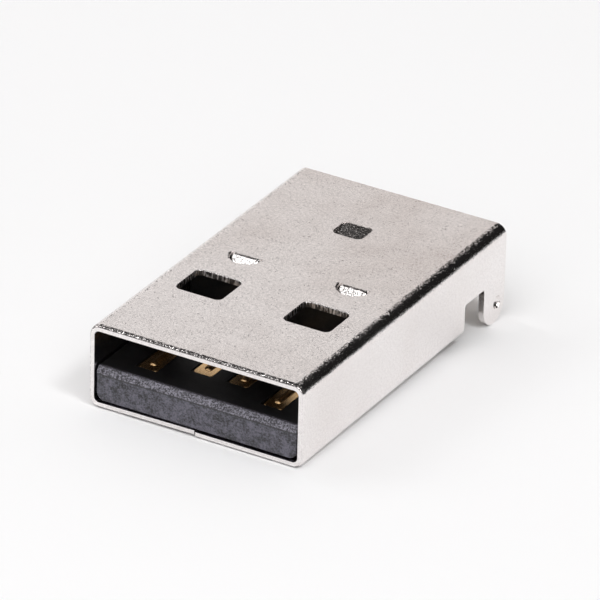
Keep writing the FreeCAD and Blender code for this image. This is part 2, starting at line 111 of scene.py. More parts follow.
# Each lamp: its setting, the way to it from the plug, its distance, its width along X and its depth
LAMPS = {
    "overhead_strip": ("overhead", (-0.75, 0.135, 1.0), 0.57, 0.34, 0.05),
    "top_light": ("top", (0.42, -0.7, 1.0), 0.6, 0.72, 0.5),
    "key_lamp": ("key", (0.52, -0.17, 0.84), 0.55, 0.11, 0.11),
    "left_fill": ("fill", (-0.8, -0.25, 0.6), 0.6, 0.25, 0.25),
}

CAMERA_AZIMUTH = math.radians(29.7627)      # from the mating end towards +X
CAMERA_ELEVATION = math.radians(28.1775)
CAMERA_ROLL = math.radians(1.4229)
CAMERA_DISTANCE = 349.07 * MM
CAMERA_AIM = Vector((0.0703, -7.4651, 1.3058)) * MM
SENSOR_WIDTH = 36


class NickelPlate(bpy.types.PropertyGroup):
    """Finish of the folded shell."""
    color: FloatVectorProperty(name="Plate colour", description="Reflected colour of the nickel", size=3,
                               subtype="COLOR", default=(0.91, 0.868, 0.858), min=0, max=1)
    roughness: FloatProperty(name="Roughness", description="Haze of the plated surface", default=0.16,
                             min=0, max=1, subtype="FACTOR")
    grain_size: FloatProperty(name="Grain size", description="Width of one grain of the satin surface",
                              default=0.06 * MM, min=0.005 * MM, unit="LENGTH", precision=6)
    grain_tilt: FloatProperty(name="Grain tilt", description="How far the steepest grains lean",
                              default=0.36, min=0, max=2)
    bend_tilt: FloatProperty(name="Bend tilt", description="How much more the grains lean on bends and the rim",
                             default=0.38, min=0, max=3)
    grain_height: FloatProperty(name="Grain height", description="Depth of the soft mottling between the grains",
                                default=0.008 * MM, min=0, unit="LENGTH", precision=7)
    cut_roughness: FloatProperty(name="Cut roughness", description="Haze of the sheared edges",
                                 default=0.42, min=0, max=1, subtype="FACTOR")
    # Rim tone: how much of the plate's colour the painted dark reflection on the rolled rim leaves.
    painted_rim_tone: FloatProperty(name="Rim tone", description="Share of the plate's colour left on the rubbed rim",
                            default=0.18, min=0, max=1, subtype="FACTOR")
    # Tarnish: strength of the tarnished spots and of the painted shade on the roof towards the board end.
    tarnish_and_shade: FloatProperty(name="Tarnish", description="Strength of the brown film at the board end", default=0.4,
                           min=0, max=1, subtype="FACTOR")
    # Tarnish colour: the colour of those spots and of that painted shade.
    tarnish_and_shade_color: FloatVectorProperty(name="Tarnish colour", description="Reflected colour under the brown film",
                                       size=3, subtype="COLOR", default=(0.6, 0.52, 0.48), min=0, max=1)
    wave_size: FloatProperty(name="Wave size", description="Width of the sheet's slow unevenness",
                             default=1.4 * MM, min=0.05 * MM, unit="LENGTH", precision=5)
    wave_height: FloatProperty(name="Wave height", description="Depth of the sheet's slow unevenness",
                               default=0.03 * MM, min=0, unit="LENGTH", precision=6)


class BlackMoulding(bpy.types.PropertyGroup):
    """Finish of the insulator."""
    color: FloatVectorProperty(name="Moulding colour", description="Colour of the glass-filled plastic", size=3,
                               subtype="COLOR", default=(0.008, 0.008, 0.009), min=0, max=1)
    # Scuffed colour: the painted reflection of the floor on the moulding's front.
    front_reflection_color: FloatVectorProperty(name="Scuffed colour", description="Colour of the moulding's worn front",
                                       size=3, subtype="COLOR", default=(0.056, 0.053, 0.074), min=0, max=1)
    # Corner colour: the painted highlight on the bevel above the front.
    bevel_highlight_color: FloatVectorProperty(name="Corner colour", description="Colour of the worn bevel above the front",
                                      size=3, subtype="COLOR", default=(0.15, 0.145, 0.175), min=0, max=1)
    roughness: FloatProperty(name="Roughness", description="Haze of the moulded surface", default=0.4,
                             min=0, max=1, subtype="FACTOR")
    sheen: FloatProperty(name="Sheen", description="How strongly the moulded skin mirrors its surroundings",
                         default=1.0, min=0, max=1, subtype="FACTOR")
    grain_size: FloatProperty(name="Grain size", description="Width of the marks that the filler leaves",
                              default=0.09 * MM, min=0.005 * MM, unit="LENGTH", precision=6)
    grain_height: FloatProperty(name="Grain height", description="Depth of the marks that the filler leaves",
                                default=0.006 * MM, min=0, unit="LENGTH", precision=7)


class ContactRow(bpy.types.PropertyGroup):
    """Sizes of the four stamped contacts."""
    width: FloatProperty(name="Blade width", description="Width of a contact in front of its barbs",
                         default=1.15 * MM, min=0.5 * MM, unit="LENGTH", precision=5)
    thickness: FloatProperty(name="Thickness", description="Thickness of the stamped strip",
                             default=0.3 * MM, min=0.1 * MM, unit="LENGTH", precision=5)
    tail_width: FloatProperty(name="Tail width", description="Width of the solder tail",
                              default=0.9 * MM, min=0.3 * MM, unit="LENGTH", precision=5)
    tip_corner: FloatProperty(name="Tip corner", description="Radius of the tip's two corners",
                              default=0.25 * MM, min=0.01 * MM, unit="LENGTH", precision=5)
    edge_bevel: FloatProperty(name="Edge bevel", description="Bevel that stamping leaves on the upper edge",
                              default=0.05 * MM, min=0.005 * MM, unit="LENGTH", precision=6)
    bead_width: FloatProperty(name="Bead width", description="Width of the embossed bead",
                              default=0.45 * MM, min=0.1 * MM, unit="LENGTH", precision=5)
    groove_width: FloatProperty(name="Groove width", description="Width of the groove under the bead",
                                default=0.3 * MM, min=0.05 * MM, unit="LENGTH", precision=5)


class GoldPlate(bpy.types.PropertyGroup):
    """Finish of the contacts."""
    color: FloatVectorProperty(name="Gold colour", description="Reflected colour of the gold", size=3,
                               subtype="COLOR", default=(0.86, 0.58, 0.3), min=0, max=1)
    roughness: FloatProperty(name="Roughness", description="Haze of the plated surface", default=0.25,
                             min=0, max=1, subtype="FACTOR")
    mark_width: FloatProperty(name="Mark width", description="Width of the strip's rolling marks",
                              default=0.06 * MM, min=0.005 * MM, unit="LENGTH", precision=6)
    mark_depth: FloatProperty(name="Mark depth", description="Depth of the strip's rolling marks",
                              default=0.0012 * MM, min=0, unit="LENGTH", precision=7)


class Studio(bpy.types.PropertyGroup):
    """The floor, the lights and the camera."""
    floor_color: FloatVectorProperty(name="Floor colour", description="Colour of the floor", size=3,
                                     subtype="COLOR", default=(0.93, 0.938, 0.947), min=0, max=1)
    overhead: FloatProperty(name="Overhead strip", description="Brightness of the strip above the left",
                            default=5.5, min=0)
    key: FloatProperty(name="Key light", description="Brightness of the lamp at the upper right", default=16.0,
                       min=0)
    top: FloatProperty(name="Top light", description="Brightness of the broad light above the front right",
                       default=1.45, min=0)
    fill: FloatProperty(name="Left fill", description="Brightness of the softbox at the left", default=2.0,
                        min=0)
    backdrop: FloatProperty(name="Backdrop", description="Brightness of the backdrop at the rear left",
                            default=0.94, min=0)
    room: FloatProperty(name="Room", description="Brightness of the room beside the backdrop", default=0.07, min=0)
    ceiling: FloatProperty(name="Ceiling", description="Brightness of the room above the backdrop", default=0.012,
                           min=0)
    front: FloatProperty(name="Front wall", description="Level of the room in front of the plug, which the metal "
                         "shows to a viewer behind it", default=0.5, min=0)
    zenith: FloatProperty(name="Overhead card", description="Level of the room straight above, which the roof "
                          "shows to a viewer above it", default=0.4, min=0)
    room_color: FloatVectorProperty(name="Room colour", description="Colour of all the light from the room", size=3,
                                    subtype="COLOR", default=(1, 0.965, 0.95), min=0, max=1)
    paper_seen: FloatProperty(name="Paper behind", description="Level of the room where the camera sees it",
                              default=0.98, min=0)
    soft: FloatProperty(name="Soft light", description="Brightness of the even light on everything matt",
                        default=0.49, min=0)
    lens: FloatProperty(name="Lens", description="Focal length", default=428.8, min=50, unit="CAMERA")


def new_tree(owner):
    """An empty node tree on a material or a world."""
    owner.use_nodes = True
    tree = owner.node_tree
    tree.nodes.clear()
    return tree


def feed(tree, socket, value):
    """Link a socket to an input, or set a plain value on it."""
    if isinstance(value, bpy.types.NodeSocket):
        tree.links.new(value, socket)
    else:
        socket.default_value = value


def add(tree, kind, **values):
    """A node; keyword values set its properties, and names with a capital set its inputs."""
    node = tree.nodes.new(kind)
    for key, value in values.items():
        if key[0].isupper():
            feed(tree, node.inputs[key.replace("_", " ")], value)
        else:
            setattr(node, key, value)
    return node


def noise(tree, place, size, detail=2.0, roughness=0.5):
    """A noise texture whose blobs are about that size in metres."""
    return add(tree, "ShaderNodeTexNoise", Vector=place, Scale=1 / size, Detail=detail, Roughness=roughness)


def blend_range(tree, value, low, high, to_low, to_high):
    """A value mapped from one range to another, held at its ends."""
    node = add(tree, "ShaderNodeMapRange", Value=value)
    for name, number in zip(("From Min", "From Max", "To Min", "To Max"), (low, high, to_low, to_high)):
        node.inputs[name].default_value = number
    return node.outputs["Result"]


def mixed(tree, factor, first, second):
    """A value between two others, each a number or a socket."""
    node = add(tree, "ShaderNodeMix", data_type="FLOAT")
    for socket, value in zip([s for s in node.inputs if s.type == "VALUE"], (factor, first, second)):
        feed(tree, socket, value)
    return [s for s in node.outputs if s.type == "VALUE"][0]


def between(tree, factor, first, second):
    """A colour between two others, each a socket or three numbers."""
    node = add(tree, "ShaderNodeMix", data_type="RGBA")
    feed(tree, [s for s in node.inputs if s.type == "VALUE"][0], factor)
    for socket, colour in zip([s for s in node.inputs if s.type == "RGBA"], (first, second)):
        feed(tree, socket, colour if isinstance(colour, bpy.types.NodeSocket) else (*colour, 1))
    return [s for s in node.outputs if s.type == "RGBA"][0]


def scaled(colour, share):
    """A colour with its three parts multiplied and kept under 1."""
    return tuple(min(1.0, part * share) for part in colour)


def math_node(tree, operation, *values):
    """The result of a sum on numbers and sockets."""
    node = add(tree, "ShaderNodeMath", operation=operation)
    for socket, value in zip(node.inputs, values):
        feed(tree, socket, value)
    return node.outputs["Value"]


def vector_node(tree, operation, *values, result="Vector"):
    """The result of a sum on vectors, each a tuple or a socket."""
    node = add(tree, "ShaderNodeVectorMath", operation=operation)
    for socket, value in zip(node.inputs, values):
        feed(tree, socket, value)
    return node.outputs[result]


def parts(tree, vector):
    """The X, Y and Z of a vector."""
    return add(tree, "ShaderNodeSeparateXYZ", Vector=vector).outputs


def normal(tree, kind="Normal"):
    """The surface's normal, shaded or true."""
    return add(tree, "ShaderNodeNewGeometry").outputs[kind]


def object_place(tree):
    """The place on the piece in metres."""
    return add(tree, "ShaderNodeTexCoord").outputs["Object"]


def link_surface(tree, kind, shader):
    """Link a shader to the output of a material or a world."""
    tree.links.new(shader, add(tree, kind).inputs["Surface"])


def product(tree, first, *others):
    """Several values multiplied."""
    for other in others:
        first = math_node(tree, "MULTIPLY", first, other)
    return first


def rim_share(tree, place):
    """1 on the rolled rim over and under the mouth, apart from the sheet's flat front, and 0 elsewhere."""
    facing = parts(tree, normal(tree))
    leaning = blend_range(tree, facing["Y"], -0.04, -0.1, 0, 1)
    not_front = blend_range(tree, facing["Y"], -0.95, -0.85, 0, 1)
    not_side = blend_range(tree, facing["X"], 0.35, 0.6, 1, 0)
    near_mouth = math_node(tree, "LESS_THAN", parts(tree, place)["Y"], CAD_BOX[0][1] + RIM_DEPTH)
    return product(tree, leaning, not_front, not_side, near_mouth)


def bent_share(tree, place):
    """How much forming has roughened the sheet: 1 on the crowns of the side bends, less on the rolled rim."""
    facing = parts(tree, normal(tree))
    sideways = math_node(tree, "ABSOLUTE", facing["X"])
    level = math_node(tree, "ABSOLUTE", facing["Z"])
    crown = product(tree, blend_range(tree, sideways, 0.03, 0.12, 0, 1), blend_range(tree, level, 0.7, 0.9, 0, 1))
    return math_node(tree, "MAXIMUM", crown, product(tree, rim_share(tree, place), 0.35))


def grains_that_lean(tree, place, size, tilt, even_tilt):
    """Normals of a grainy skin: most grains lie nearly flat and a few lean far; even_tilt leans all of them."""
    cells = add(tree, "ShaderNodeTexVoronoi", Vector=place, Scale=1 / size).outputs["Color"]
    lean = vector_node(tree, "SUBTRACT", cells, (0.5, 0.5, 0.5))
    steepness = vector_node(tree, "DOT_PRODUCT", lean, lean, result="Value")
    reach = math_node(tree, "ADD", product(tree, steepness, tilt), even_tilt)
    scale = add(tree, "ShaderNodeVectorMath", operation="SCALE", Scale=reach)
    tree.links.new(lean, scale.inputs[0])
    return vector_node(tree, "NORMALIZE", vector_node(tree, "ADD", normal(tree), scale.outputs["Vector"]))


def cut_edge_share(tree, place):
    """1 on the sheared sides of the windows in the roof and 0 elsewhere."""
    spot = parts(tree, place)
    level = math_node(tree, "ABSOLUTE", parts(tree, normal(tree, "True Normal"))["Z"])
    steep = math_node(tree, "LESS_THAN", level, 0.6)
    in_roof = math_node(tree, "GREATER_THAN", spot["Z"], CAD_BOX[1][2] - ROOF_CUT_DEPTH)
    inward = math_node(tree, "LESS_THAN", math_node(tree, "ABSOLUTE", spot["X"]), CAD_BOX[1][0] - WINDOW_INSET)
    behind_rim = math_node(tree, "GREATER_THAN", spot["Y"], CAD_BOX[0][1] + WINDOWS_FROM)
    before_lances = math_node(tree, "LESS_THAN", spot["Y"], CAD_BOX[0][1] + WINDOWS_TO)
    return product(tree, steep, in_roof, inward, behind_rim, before_lances)


def tarnish_and_shade_share(tree, place, settings):
    """Share of the brown tone: faint tarnished clouds all over, and a painted shade that darkens and browns the
    roof towards the board.
    """
    clouds = noise(tree, place, settings.wave_size * 4, 2.0).outputs["Fac"]
    rearward = blend_range(tree, parts(tree, place)["Y"], CAD_BOX[0][1] + PAINTED_SHADE_FROM, CAD_BOX[1][1], 0, 1)
    on_roof = blend_range(tree, parts(tree, normal(tree))["Z"], 0.9, 0.98, 0, 1)
    # Painted shade: the roof darker and browner towards the board.
    painted_shade_film = product(tree, blend_range(tree, clouds, 0.35, 0.65, 0.6, 1.4), rearward, on_roof)
    spots = blend_range(tree, clouds, 0.45, 0.7, 0, 0.35)
    return product(tree, math_node(tree, "ADD", painted_shade_film, spots), settings.tarnish_and_shade)


def torn_and_shaded_tone(tree, place, settings):
    """Upright streaks on the windows' cut sides, as shearing leaves them, with their dark streaks a painted shade
    of the recess.
    """
    upright = add(tree, "ShaderNodeMapping", Vector=place, Scale=(1.0, 1.0, 0.25)).outputs["Vector"]
    streaks = noise(tree, upright, settings.grain_size * 2.2, 2.5, 0.6).outputs["Fac"]
    return between(tree, blend_range(tree, streaks, 0.47, 0.6, 0, 1), scaled(settings.color, 0.12), settings.color)


def painted_rim_reflection(tree, place, settings):
    """A painted dark reflection on the rolled rim, broken by specks of the plate's own colour."""
    specks = noise(tree, place, settings.grain_size * 1.5, 2.0).outputs["Fac"]
    return between(tree, blend_range(tree, specks, 0.48, 0.58, 0, 1), scaled(settings.color, settings.painted_rim_tone),
                   settings.color)


def plate_tone(tree, place, settings, grain, cut):
    """The plate's colour all over the shell: grains, darker specks, tarnished spots, a painted shade on the roof
    towards the board, torn cut sides darkened with painted shade, and a painted dark reflection on the rolled rim.
    """
    tone = between(tree, blend_range(tree, grain, 0.36, 0.64, 0, 1), scaled(settings.color, 0.92),
                   scaled(settings.color, 1.12))
    coarse = noise(tree, place, settings.grain_size * 2.5, 2.0).outputs["Fac"]
    tone = between(tree, blend_range(tree, coarse, 0.4, 0.6, 0.22, 0), tone, scaled(settings.color, 0.7))
    # Tarnished spots all over, and painted shade on the roof towards the board end.
    tone = between(tree, tarnish_and_shade_share(tree, place, settings), tone, settings.tarnish_and_shade_color)
    # The windows' cut sides get torn streaks darkened with painted shade.
    tone = between(tree, cut, tone, torn_and_shaded_tone(tree, place, settings))
    # The rolled rim gets a painted dark reflection with specks of the plate's colour.
    return between(tree, rim_share(tree, place), tone, painted_rim_reflection(tree, place, settings))


def satin_nickel(settings):
    """Nickel plate over cold-rolled sheet: a metal with leaning grains, a slow unevenness and hazy cut edges."""
    material = bpy.data.materials.new("satin_nickel")
    tree = new_tree(material)
    place = object_place(tree)
    grain = noise(tree, place, settings.grain_size, 2.5, 0.6).outputs["Fac"]
    cloud = noise(tree, place, settings.wave_size, 3.0, 0.6).outputs["Fac"]
    wave = noise(tree, place, settings.wave_size, 1.0).outputs["Fac"]
    crumpled = product(tree, bent_share(tree, place), settings.bend_tilt)
    skin = grains_that_lean(tree, place, settings.grain_size, settings.grain_tilt, crumpled)
    slow = add(tree, "ShaderNodeBump", Distance=settings.wave_height, Strength=1.0, Height=wave, Normal=skin)
    fine = add(tree, "ShaderNodeBump", Distance=settings.grain_height, Strength=1.0, Height=grain,
               Normal=slow.outputs["Normal"])
    cut = cut_edge_share(tree, place)
    haze = blend_range(tree, cloud, 0.35, 0.65, settings.roughness * 0.85, settings.roughness * 1.2)
    shader = add(tree, "ShaderNodeBsdfPrincipled", Base_Color=plate_tone(tree, place, settings, grain, cut),
                 Metallic=1.0, Roughness=mixed(tree, cut, haze, settings.cut_roughness),
                 Normal=fine.outputs["Normal"])
    link_surface(tree, "ShaderNodeOutputMaterial", shader.outputs["BSDF"])
    return material


def lowest_y(node_name):
    """The front of a CAD node."""
    return min(vertex.co.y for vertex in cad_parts[node_name].data.vertices)


def front_edge_height(node_name):
    """The height at which the upper bevel of a CAD node's front begins."""
    front = lowest_y(node_name)
    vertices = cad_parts[node_name].data.vertices
    return max(vertex.co.z for vertex in vertices if vertex.co.y < front + 0.001 * MM)


def painted_front_tone(tree, place, settings, fibre, marks):
    """The front's painted reflection of the floor, mottled with marks, with a painted shadow line under the bevel
    and a painted highlight on the bevel over it.
    """
    face = between(tree, blend_range(tree, marks, 0.41, 0.59, 0, 1), scaled(settings.front_reflection_color, 0.1),
                   scaled(settings.front_reflection_color, 1.8))
    # The bevel, which leans upward, gets a painted highlight, mottled with the fibres.
    bevel = between(tree, blend_range(tree, fibre, 0.44, 0.6, 0, 1), scaled(settings.bevel_highlight_color, 0.2),
                    scaled(settings.bevel_highlight_color, 1.7))
    edge = front_edge_height("insulator")
    # A painted shadow line on the front just under the bevel.
    painted_shadow_line = blend_range(tree, parts(tree, place)["Z"], edge - SHADOW_LINE_DEPTH, edge - SHADOW_LINE_FADE, 0, 0.85)
    face = between(tree, painted_shadow_line, face, scaled(settings.front_reflection_color, 0.1))
    rise = parts(tree, normal(tree, "True Normal"))["Z"]
    return between(tree, blend_range(tree, rise, 0.2, 0.4, 0, 1), face, bevel)


def glass_filled_black(settings):
    """Black plastic with short glass fibres, with a painted reflection of the floor on the front that goes into
    sockets, where it mirrors less.
    """
    material = bpy.data.materials.new("glass_filled_black")
    tree = new_tree(material)
    place = object_place(tree)
    fibre = noise(tree, place, settings.grain_size, 3.0, 0.7).outputs["Fac"]
    cloud = noise(tree, place, settings.grain_size * 6, 3.0, 0.6).outputs["Fac"]
    fine = add(tree, "ShaderNodeBump", Distance=settings.grain_height, Strength=1.0, Height=fibre)
    front = lowest_y("insulator")
    # Where the front gets its painted reflection of the floor.
    front_reflection_share = blend_range(tree, parts(tree, place)["Y"], front + FRONT_REFLECTION_DEPTH, front + 0.6 * FRONT_REFLECTION_DEPTH, 0, 1)
    marks = math_node(tree, "ADD", product(tree, fibre, 0.6), product(tree, cloud, 0.4))
    tone = between(tree, front_reflection_share, settings.color, painted_front_tone(tree, place, settings, fibre, marks))
    haze = blend_range(tree, fibre, 0.3, 0.7, settings.roughness * 0.85, settings.roughness * 1.2)
    # The front mirrors less, since its painted reflection stands in for the sheen.
    sheen = product(tree, blend_range(tree, marks, 0.38, 0.62, settings.sheen * 0.6, settings.sheen),
                    mixed(tree, front_reflection_share, 0.4, 1.0))
    shader = add(tree, "ShaderNodeBsdfPrincipled", Base_Color=tone, Metallic=0.0, Roughness=haze,
                 Specular_IOR_Level=sheen, Normal=fine.outputs["Normal"])
    link_surface(tree, "ShaderNodeOutputMaterial", shader.outputs["BSDF"])
    return material


def gold_on_copper(settings):
    """Thin gold plate on a stamped strip, with the strip's rolling marks along it."""
    material = bpy.data.materials.new("gold_on_copper")
    tree = new_tree(material)
    place = object_place(tree)
    along = add(tree, "ShaderNodeMapping", Vector=place, Scale=(1.0, 0.15, 1.0)).outputs["Vector"]
    rolled = noise(tree, along, settings.mark_width, 2.0).outputs["Fac"]
    fine = add(tree, "ShaderNodeBump", Distance=settings.mark_depth, Strength=1.0, Height=rolled)
    tone = between(tree, blend_range(tree, rolled, 0.3, 0.7, 0, 1), scaled(settings.color, 0.88),
                   scaled(settings.color, 1.06))
    shader = add(tree, "ShaderNodeBsdfPrincipled", Base_Color=tone, Metallic=1.0, Roughness=settings.roughness,
                 Normal=fine.outputs["Normal"])
    link_surface(tree, "ShaderNodeOutputMaterial", shader.outputs["BSDF"])
    return material


def dress(node_name, material):
    """Give a CAD node a finish on all its slots."""
    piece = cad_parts[node_name]
    for slot in piece.material_slots:
        slot.material = material
    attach(piece, "root")


def contact_outline(settings):
    """One contact seen from above: corners from its tip round to its tail, each with its way inward."""
    low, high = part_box("contact_inner_left")
    blade, tail, corner = settings.width / 2, settings.tail_width / 2, settings.tip_corner
    turns = [math.pi / 2 * step / TIP_STEPS for step in range(TIP_STEPS + 1)]
    right = [(blade - corner + corner * math.sin(turn), low[1] + corner - corner * math.cos(turn),
              -math.sin(turn), math.cos(turn)) for turn in turns]
    right.append((blade, FIRST_BARB_Y, -1, 0))
    for barb in range(BARB_COUNT):
        start = FIRST_BARB_Y + barb * BARB_SPACING
        if barb:
            right.append((blade, start, 0, 0))
        right.append(((high[0] - low[0]) / 2, start + BARB_LENGTH, 0, 0))
        right.append((blade, start + BARB_LENGTH, 0, 0))
    right.append((blade, SHOULDER_Y, 0, 0))
    right.append((tail, SHOULDER_Y + SHOULDER_LENGTH, 0, 0))
    right.append((tail, high[1], 0, 0))
    return right + [(-x, y, -inward_x, inward_y) for x, y, inward_x, inward_y in reversed(right)]


def new_geometry_tree(name, sizes):
    """A Geometry Nodes tree with a geometry in and out and named sizes, and the sockets of its input node."""
    tree = bpy.data.node_groups.new(name, "GeometryNodeTree")
    tree.interface.new_socket("Geometry", in_out="INPUT", socket_type="NodeSocketGeometry")
    tree.interface.new_socket("Geometry", in_out="OUTPUT", socket_type="NodeSocketGeometry")
    for label in sizes:
        socket = tree.interface.new_socket(label, in_out="INPUT", socket_type="NodeSocketFloat")
        socket.subtype = "DISTANCE"
    return tree, tree.nodes.new("NodeGroupInput").outputs


def finish_tree(tree, geometry):
    """Link a tree's last geometry to its output."""
    tree.links.new(geometry, tree.nodes.new("NodeGroupOutput").inputs[0])
    return tree


def offset(tree, **parts):
    """A vector from its named parts."""
    return add(tree, "ShaderNodeCombineXYZ", **parts).outputs["Vector"]


def long_rod(tree, given, width, base):
    """A rod with rounded ends along one contact, whose crown stands a bead's height above a level."""
    height = given["Bead Height"]
    half = product(tree, width, 0.5)
    squares = math_node(tree, "ADD", product(tree, half, half), product(tree, height, height))
    radius = math_node(tree, "DIVIDE", squares, product(tree, height, 2.0))
    nose = math_node(tree, "ADD", math_node(tree, "ADD", given["Tip"], BEAD_SETBACK), half)
    stop = math_node(tree, "SUBTRACT", math_node(tree, "SUBTRACT", given["Block"], BEAD_STOP), half)
    half_run = product(tree, math_node(tree, "SUBTRACT", stop, nose), 0.5)
    middle = product(tree, math_node(tree, "ADD", stop, nose), 0.5)
    axis = math_node(tree, "SUBTRACT", math_node(tree, "ADD", base, height), radius)
    ball = add(tree, "GeometryNodeMeshUVSphere", Segments=ROD_SEGMENTS, Rings=ROD_RINGS, Radius=radius)
    lying = add(tree, "GeometryNodeTransform", Geometry=ball.outputs["Mesh"], Rotation=(math.pi / 2, 0, 0))
    point = parts(tree, add(tree, "GeometryNodeInputPosition").outputs["Position"])
    stretch = product(tree, math_node(tree, "SIGN", point["Y"]), half_run)
    lowest = math_node(tree, "MAXIMUM", point["Z"], product(tree, radius, -ROD_FOOT))
    flatten = math_node(tree, "SUBTRACT", lowest, point["Z"])
    rod = add(tree, "GeometryNodeSetPosition", Geometry=lying.outputs["Geometry"],
              Offset=offset(tree, Y=stretch, Z=flatten))
    return add(tree, "GeometryNodeTransform", Geometry=rod.outputs["Geometry"],
               Translation=offset(tree, Y=middle, Z=axis)).outputs["Geometry"]


def stamping_tree():
    """The tree that stamps a contact from its outline: thickness, bevelled edge, embossed bead and its groove."""
    sizes = ("Tip", "Block", "Seat", "Thickness", "Edge Bevel", "Bead Width", "Bead Height", "Groove Width")
    tree, given = new_geometry_tree("stamped_contact", sizes)
    rise = math_node(tree, "SUBTRACT", given["Thickness"], given["Edge Bevel"])
    lower = add(tree, "GeometryNodeExtrudeMesh", Mesh=given["Geometry"], Offset=offset(tree, Z=rise),
                Offset_Scale=1.0, Individual=False)
    upper = add(tree, "GeometryNodeExtrudeMesh", Mesh=lower.outputs["Mesh"], Selection=lower.outputs["Top"],
                Offset=offset(tree, Z=given["Edge Bevel"]), Offset_Scale=1.0, Individual=False)
    inward = add(tree, "GeometryNodeInputNamedAttribute", data_type="FLOAT_VECTOR", Name="inward")
    bevel = offset(tree, X=given["Edge Bevel"], Y=given["Edge Bevel"])
    bevelled = add(tree, "GeometryNodeSetPosition", Geometry=upper.outputs["Mesh"], Selection=upper.outputs["Top"],
                   Offset=vector_node(tree, "MULTIPLY", inward.outputs["Attribute"], bevel))
    underside = add(tree, "GeometryNodeFlipFaces", Mesh=given["Geometry"])
    closed = add(tree, "GeometryNodeJoinGeometry")
    for half in (bevelled.outputs["Geometry"], underside.outputs["Mesh"]):
        tree.links.new(half, closed.inputs["Geometry"])
    blank = add(tree, "GeometryNodeMergeByDistance", Geometry=closed.outputs["Geometry"], Distance=WELD_REACH)
    top = math_node(tree, "ADD", given["Seat"], given["Thickness"])
    embossed = add(tree, "GeometryNodeMeshBoolean", operation="UNION", solver="EXACT")
    for solid in (blank.outputs["Geometry"], long_rod(tree, given, given["Bead Width"], top)):
        tree.links.new(solid, embossed.inputs[1])
    grooved = add(tree, "GeometryNodeMeshBoolean", operation="DIFFERENCE", solver="EXACT")
    tree.links.new(embossed.outputs["Mesh"], grooved.inputs[0])
    tree.links.new(long_rod(tree, given, given["Groove Width"], given["Seat"]), grooved.inputs[1])
    return finish_tree(tree, grooved.outputs["Mesh"])


def row_tree(stamping):
    """The tree that sets two short and two long contacts in a row."""
    sizes = [item.name for item in stamping.interface.items_tree if item.socket_type == "NodeSocketFloat"]
    tree, given = new_geometry_tree("contact_row", sizes + ["Outer Lead", "Inner Spacing", "Outer Spacing"])
    tree.interface.new_socket("Finish", in_out="INPUT", socket_type="NodeSocketMaterial")
    depth = parts(tree, add(tree, "GeometryNodeInputPosition").outputs["Position"])["Y"]
    at_tip = add(tree, "FunctionNodeCompare", operation="LESS_THAN", A=depth, B=given["Block"])
    forward = product(tree, given["Outer Lead"], -1.0)
    longer = add(tree, "GeometryNodeSetPosition", Geometry=given["Geometry"], Selection=at_tip.outputs["Result"],
                 Offset=offset(tree, Y=forward))
    longer_tip = math_node(tree, "ADD", given["Tip"], forward)
    row = add(tree, "GeometryNodeJoinGeometry")
    for outline, tip, spacing in ((given["Geometry"], given["Tip"], given["Inner Spacing"]),
                                  (longer.outputs["Geometry"], longer_tip, given["Outer Spacing"])):
        contact = add(tree, "GeometryNodeGroup", node_tree=stamping, Geometry=outline, Tip=tip)
        for label in sizes:
            if label != "Tip":
                tree.links.new(given[label], contact.inputs[label])
        start = offset(tree, X=product(tree, spacing, -1.0))
        pair = add(tree, "GeometryNodeMeshLine", Count=2, Start_Location=start,
                   Offset=offset(tree, X=product(tree, spacing, 2.0)))
        placed = add(tree, "GeometryNodeInstanceOnPoints", Points=pair.outputs["Mesh"],
                     Instance=contact.outputs["Geometry"])
        tree.links.new(placed.outputs["Instances"], row.inputs["Geometry"])
    solid = add(tree, "GeometryNodeRealizeInstances", Geometry=row.outputs["Geometry"])
    plated = add(tree, "GeometryNodeSetMaterial", Geometry=solid.outputs["Geometry"], Material=given["Finish"])
    return finish_tree(tree, plated.outputs["Geometry"])


def make_contact_row(settings, finish):
    """The four contacts as one mesh, each where its CAD solid is."""
    corners = contact_outline(settings)
    inner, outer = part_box("contact_inner_right"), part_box("contact_outer_right")
    seat = inner[0][2]
    mesh = bpy.data.meshes.new("contact_row")
    mesh.from_pydata([(x, y, seat) for x, y, _, _ in corners], [], [tuple(range(len(corners)))])
    mesh.materials.append(finish)
    ways = mesh.attributes.new("inward", "FLOAT_VECTOR", "POINT")
    ways.data.foreach_set("vector", [part for _, _, x, y in corners for part in (x, y, 0)])
    row = bpy.data.objects.new("contact_row", mesh)
    bpy.context.scene.collection.objects.link(row)
    values = {
        "Tip": inner[0][1], "Block": BLOCK_Y, "Seat": seat, "Thickness": settings.thickness,
        "Edge Bevel": settings.edge_bevel, "Bead Width": settings.bead_width,
        "Bead Height": inner[1][2] - seat - settings.thickness, "Groove Width": settings.groove_width,
        "Outer Lead": inner[0][1] - outer[0][1], "Inner Spacing": (inner[0][0] + inner[1][0]) / 2,
        "Outer Spacing": (outer[0][0] + outer[1][0]) / 2, "Finish": finish,
    }
    modifier = row.modifiers.new("contact_row", "NODES")
    modifier.node_group = row_tree(stamping_tree())
    for item in modifier.node_group.interface.items_tree:
        if item.name in values:
            modifier[item.identifier] = values[item.name]
    row.data = bpy.data.meshes.new_from_object(row.evaluated_get(bpy.context.evaluated_depsgraph_get()))
    row.modifiers.remove(modifier)
    row.data.shade_smooth()
    row.data.set_sharp_from_angle(angle=SHARP_ANGLE)
    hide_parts(*CONTACTS)
    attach(row, "root")


def matt_paper(colour):
    """White paper, mottled a little."""
    material = bpy.data.materials.new("white_paper")
    tree = new_tree(material)
    place = object_place(tree)
    mottle = noise(tree, place, 30 * MM, 2.0).outputs["Fac"]
    tone = between(tree, mottle, scaled(colour, 0.995), colour)
    shader = add(tree, "ShaderNodeBsdfPrincipled", Base_Color=tone, Metallic=0.0, Roughness=0.9)
    link_surface(tree, "ShaderNodeOutputMaterial", shader.outputs["BSDF"])
    return material


